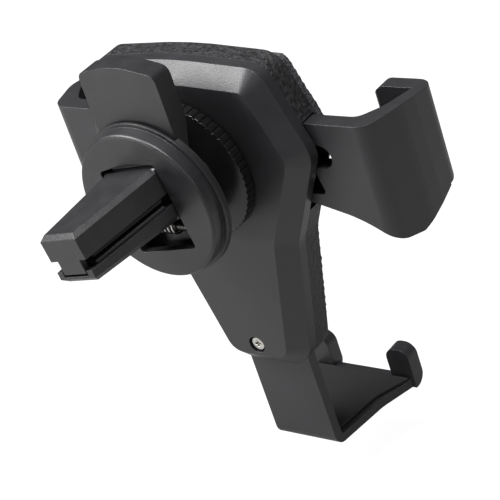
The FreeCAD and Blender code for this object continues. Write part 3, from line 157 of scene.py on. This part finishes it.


# The cells are 0.55 mm apart, and the ramp paints shade into the bottoms of the cells
foamCells = {"pitch": 0.55, "dark": "#0c0c0d", "paintedShadeAt": 0.1, "light": "#48484b", "lightAt": 0.6,
             "bump": 0.9, "bumpDepth": 0.15, "rough": 0.95, "ior": 1.45}


# Open-cell foam with no gloss: painted shade in the bottoms of the cut cells makes the surface
# dark and speckled
def cellFoam():
    material, tree = newMaterial("openCellBlackFoam")
    place = addNode(tree, "TexCoord").outputs["Object"]
    cells = addNode(tree, "TexVoronoi", None, {
        "Vector": place, "Scale": 1 / (foamCells["pitch"] * mm)})
    # Painted shade: the colour darkens towards each cell's bottom, where the distance to the
    # cell's centre is small
    tint = addNode(tree, "ValToRGB", None, {"Fac": cells.outputs["Distance"]})
    tint.color_ramp.elements[0].position = foamCells["paintedShadeAt"]
    tint.color_ramp.elements[0].color = linearColour(foamCells["dark"])
    tint.color_ramp.elements[1].position = foamCells["lightAt"]
    tint.color_ramp.elements[1].color = linearColour(foamCells["light"])
    bump = addNode(tree, "Bump", None, {
        "Strength": foamCells["bump"], "Distance": foamCells["bumpDepth"] * mm,
        "Height": cells.outputs["Distance"]})
    finishMaterial(tree, {
        "Base Color": tint.outputs["Color"], "Roughness": foamCells["rough"],
        "IOR": foamCells["ior"], "Normal": bump.outputs["Normal"]})
    return material


steelSkin = {"clouds": 0.8, "detail": 5.0, "roughSpread": 0.12, "edge": 0.12}


# Steel that is zinc-plated, blackened by oxide or drawn: a metal with a slightly cloudy gloss
def steel(name, colour, roughness):
    material, tree = newMaterial(name)
    place = addNode(tree, "TexCoord").outputs["Object"]
    clouds = addNode(tree, "TexNoise", None, {
        "Vector": place, "Scale": 1 / (steelSkin["clouds"] * mm), "Detail": steelSkin["detail"]})
    rough = addNode(tree, "MapRange", None, {
        "Value": clouds.outputs["Fac"], "From Min": cloudLow, "From Max": cloudHigh,
        "To Min": roughness, "To Max": roughness + steelSkin["roughSpread"]})
    edge = addNode(tree, "Bevel", {"samples": edgeSamples}, {"Radius": steelSkin["edge"] * mm})
    finishMaterial(tree, {
        "Base Color": linearColour(colour), "Metallic": 1.0,
        "Roughness": rough.outputs["Result"], "Normal": edge.outputs["Normal"]})
    return material


shellAbs = mouldedPlastic("grainedBlackAbs", shellLook)
coarseAbs = mouldedPlastic("coarseBlackAbs", coarseLook)
clipAbs = mouldedPlastic("clipBlackAbs", clipLook)
smoothAcetal = mouldedPlastic("smoothBlackAcetal", smoothLook)
# The bowl's extra darkness is painted shade for its inside
shadedBowlAbs = mouldedPlastic("shadedRoughBlackAbs", shadedBowlLook)
silicone = siliconeRubber()
foam = cellFoam()
zincSteel = steel("brightZincSteel", "#d4d2cc", 0.24)
oxideSteel = steel("oxideBlackSteel", "#3c3b3a", 0.34)
springSteel = steel("drawnSpringSteel", "#b9b8b4", 0.28)

finishes = {
    "rear_shell": shellAbs, "foot": shellAbs, "left_arm": shellAbs, "right_arm": shellAbs,
    "front_shell": coarseAbs, "clip_base": shadedBowlAbs,
    "clip_cover": clipAbs, "lower_jaw": clipAbs, "release_lever": clipAbs,
    "lock_ring": smoothAcetal, "friction_cup": smoothAcetal, "swivel_ball": smoothAcetal,
    "lower_jaw_pad": silicone, "upper_jaw_pad": silicone, "foot_pad": silicone,
    "left_arm_pad": silicone, "right_arm_pad": silicone,
    "front_pad": foam,
    "lever_pin": oxideSteel, "cover_screws": oxideSteel, "flange_screws": oxideSteel,
    "tail_screw": zincSteel, "upper_screws": zincSteel,
    "left_cam_pin": zincSteel, "right_cam_pin": zincSteel,
    "lever_spring": springSteel, "return_spring": springSteel,
}
for nodeName, finish in finishes.items():
    slots = nodes[nodeName].data.materials
    slots.clear()
    slots.append(finish)
print("finishes on", len(finishes), "nodes")


# Joined points in mm, and how flat two faces have to meet, in degrees, to become one
cleanMesh = {"joined": 0.001, "flat": 1.5}


# A CAD node's mesh is loose triangles, so the copy is joined up and its flat faces made whole
def mergedCopy(nodeName, newName):
    bpy.ops.object.select_all(action="DESELECT")
    piece = bpy.data.objects.new(newName, nodes[nodeName].data.copy())
    bpy.context.scene.collection.objects.link(piece)
    bpy.context.view_layer.objects.active = piece
    piece.select_set(True)
    bpy.ops.mesh.customdata_custom_splitnormals_clear()
    bpy.ops.object.mode_set(mode="EDIT")
    bpy.ops.mesh.select_all(action="SELECT")
    bpy.ops.mesh.remove_doubles(threshold=cleanMesh["joined"] * mm)
    bpy.ops.mesh.dissolve_limited(angle_limit=math.radians(cleanMesh["flat"]))
    bpy.ops.object.mode_set(mode="OBJECT")
    return piece


def applyModifier(modifier):
    bpy.ops.object.modifier_apply(modifier=modifier.name)


# Moulded pieces whose edges are rounded: node, new name, body, radius in mm
roundedPieces = [
    ("rear_shell", "rearShell", "cradle", 0.30),
    ("front_shell", "frontShell", "cradle", 0.30),
    ("foot", "slidingFoot", "foot_slider", 0.30),
    ("left_arm", "leftArm", "left_side", 0.30),
    ("right_arm", "rightArm", "right_side", 0.30),
    ("release_lever", "tongueAndJaw", "lever", 0.30),
    ("lower_jaw", "lowerJaw", "vent_clip", 0.30),
    ("clip_cover", "windowDisc", "vent_clip", 0.22),
    ("foot_pad", "footLiner", "foot_slider", 0.30),
    ("lower_jaw_pad", "lowerJawRubber", "vent_clip", 0.25),
    ("upper_jaw_pad", "upperJawRubber", "lever", 0.25),
]
# Edges that turn by more than these degrees are rounded, and the others shaded smooth
roundedEdge = {"segments": 3, "roundAbove": 38, "smoothBelow": 35, "flatWeight": 100}


def roundEdges(piece, radius):
    rounding = piece.modifiers.new("wornEdges", "BEVEL")
    rounding.width = radius * mm
    rounding.segments = roundedEdge["segments"]
    rounding.limit_method = "ANGLE"
    rounding.angle_limit = math.radians(roundedEdge["roundAbove"])
    applyModifier(rounding)
    bpy.ops.object.shade_smooth_by_angle(angle=math.radians(roundedEdge["smoothBelow"]))
    flats = piece.modifiers.new("flatFaces", "WEIGHTED_NORMAL")
    flats.keep_sharp = True
    flats.weight = roundedEdge["flatWeight"]
    applyModifier(flats)


for nodeName, newName, body, radius in roundedPieces:
    piece = mergedCopy(nodeName, newName)
    roundEdges(piece, radius)
    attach(piece, body)
    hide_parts(nodeName)
print("edges rounded on", len(roundedPieces), "pieces")


# An even mesh all over, with its edges softened, whose surface can be pushed in and out
def evenSkin(piece, voxel, softness):
    skin = piece.modifiers.new("evenMesh", "REMESH")
    skin.mode = "VOXEL"
    skin.voxel_size = voxel * mm
    applyModifier(skin)
    soft = piece.modifiers.new("softEdge", "SMOOTH")
    soft.factor = 0.5
    soft.iterations = softness
    applyModifier(soft)


# Ribs moulded across the inner face of the arms' rubber liners. Voxel, pitch and height in mm.
linerRibs = {"voxel": 0.22, "softness": 5, "pitch": 1.5, "height": 0.28}
ribbedLiners = [
    ("left_arm_pad", "leftLiner", "left_side"),
    ("right_arm_pad", "rightLiner", "right_side"),
]


def ribbedLiner(nodeName, newName, body):
    piece = mergedCopy(nodeName, newName)
    evenSkin(piece, linerRibs["voxel"], linerRibs["softness"])
    middle = sum((vertex.co.x for vertex in piece.data.vertices)) / len(piece.data.vertices)
    inward = -1 if middle > 0 else 1
    for vertex in piece.data.vertices:
        facing = max(0.0, vertex.normal.x * inward)
        wave = 0.5 + 0.5 * math.cos(2 * math.pi * vertex.co.z / (linerRibs["pitch"] * mm))
        vertex.co.x -= inward * facing * wave * linerRibs["height"] * mm
    bpy.ops.object.shade_smooth()
    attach(piece, body)
    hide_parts(nodeName)


for nodeName, newName, body in ribbedLiners:
    ribbedLiner(nodeName, newName, body)
print("liners ribbed")


# Foam pad cut from sheet: soft edges and a dented face. Voxel, size of dents and depth in mm.
# At level 0.75 most of the surface is pushed inwards, so the pad stays inside its CAD solid.
foamPad = {"voxel": 0.5, "softness": 4, "dent": 0.9, "detail": 1, "depth": 0.22, "level": 0.75}


def cutFoam():
    piece = mergedCopy("front_pad", "foamPad")
    evenSkin(piece, foamPad["voxel"], foamPad["softness"])
    cells = bpy.data.textures.new("foamCells", "CLOUDS")
    cells.noise_scale = foamPad["dent"] * mm
    cells.noise_depth = foamPad["detail"]
    dents = piece.modifiers.new("cellDents", "DISPLACE")
    dents.texture = cells
    dents.texture_coords = "LOCAL"
    dents.strength = foamPad["depth"] * mm
    dents.mid_level = foamPad["level"]
    applyModifier(dents)
    bpy.ops.object.shade_smooth()
    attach(piece, "cradle")
    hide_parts("front_pad")


cutFoam()
print("foam pad cut")


# Floor and light. The camera sees the world white and most of the floor's light as a white glow.
studio = {
    "floorGap": 12 * mm,
    "floorSize": 6.0,
    "board": "#9c9c9c",
    "boardRough": 0.9,
    "glow": 1.3,
    "glowShare": 0.75,
    "world": 0.09,
    "lamps": [
        # name, place, size, watts: each points at the middle of the cradle
        ("bevelBox", (0.36, 0.26, 0.50), 0.40, 8.0),
        ("lowKeyBox", (0.42, 0.58, -0.04), 0.16, 1.4),
        ("cameraSideBox", (-0.60, 0.16, 0.24), 0.36, 0.5),
        ("overheadStrip", (-0.10, 0.04, 0.60), 0.22, 4.0),
    ],
    "aim": (0.0, 0.010, -0.025),
}


# Matt grey board in reflections and bounced light, glowing white to the camera
def studioFloor():
    bpy.ops.object.select_all(action="DESELECT")
    bpy.ops.mesh.primitive_plane_add(
        size=studio["floorSize"], location=(0, 0, lowCorner[2] - studio["floorGap"]))
    floor = bpy.context.active_object
    floor.name = "studioFloor"
    material, tree = newMaterial("studioBoard")
    board = addNode(tree, "BsdfPrincipled", None, {
        "Base Color": linearColour(studio["board"]), "Roughness": studio["boardRough"]})
    glow = addNode(tree, "Emission", None, {
        "Color": (1, 1, 1, 1), "Strength": studio["glow"]})
    path = addNode(tree, "LightPath")
    share = addNode(tree, "Math", {"operation": "MULTIPLY"}, {
        0: path.outputs["Is Camera Ray"], 1: studio["glowShare"]})
    mix = addNode(tree, "MixShader", None, {
        0: share.outputs[0], 1: board.outputs[0], 2: glow.outputs[0]})
    addNode(tree, "OutputMaterial", None, {"Surface": mix.outputs[0]})
    floor.data.materials.append(material)


def studioWorld():
    world = bpy.data.worlds.new("softTent")
    bpy.context.scene.world = world
    world.use_nodes = True
    tree = world.node_tree
    tree.nodes.clear()
    path = addNode(tree, "LightPath")
    strength = addNode(tree, "MapRange", None, {
        "Value": path.outputs["Is Camera Ray"], "To Min": studio["world"], "To Max": 1.0})
    sky = addNode(tree, "Background", None, {
        "Color": (1, 1, 1, 1), "Strength": strength.outputs["Result"]})
    addNode(tree, "OutputWorld", None, {"Surface": sky.outputs["Background"]})


def studioLamps():
    for name, spot, size, watts in studio["lamps"]:
        lamp = bpy.data.lights.new(name, "AREA")
        lamp.size = size
        lamp.energy = watts
        holder = bpy.data.objects.new(name, lamp)
        holder.location = spot
        direction = Vector(studio["aim"]) - Vector(spot)
        holder.rotation_euler = direction.to_track_quat("-Z", "Y").to_euler()
        bpy.context.scene.collection.objects.link(holder)


camera = {
    "place": (-242.922, 241.915, 156.077),   # millimetres
    "turn": (59.76, 16.8374, -143.5376),     # degrees
    "lens": 135.278,
    "sensor": 36.0,
    "clipStart": 0.01,
}


def rearCamera():
    lens = bpy.data.cameras.new("rearCamera")
    lens.lens = camera["lens"]
    lens.sensor_width = camera["sensor"]
    lens.clip_start = camera["clipStart"]
    holder = bpy.data.objects.new("rearCamera", lens)
    holder.location = [x * mm for x in camera["place"]]
    holder.rotation_euler = [math.radians(x) for x in camera["turn"]]
    bpy.context.scene.collection.objects.link(holder)
    bpy.context.scene.camera = holder


studioFloor()
studioWorld()
studioLamps()
rearCamera()
bpy.context.scene.view_settings.view_transform = "Standard"
print("stage, light and camera set")
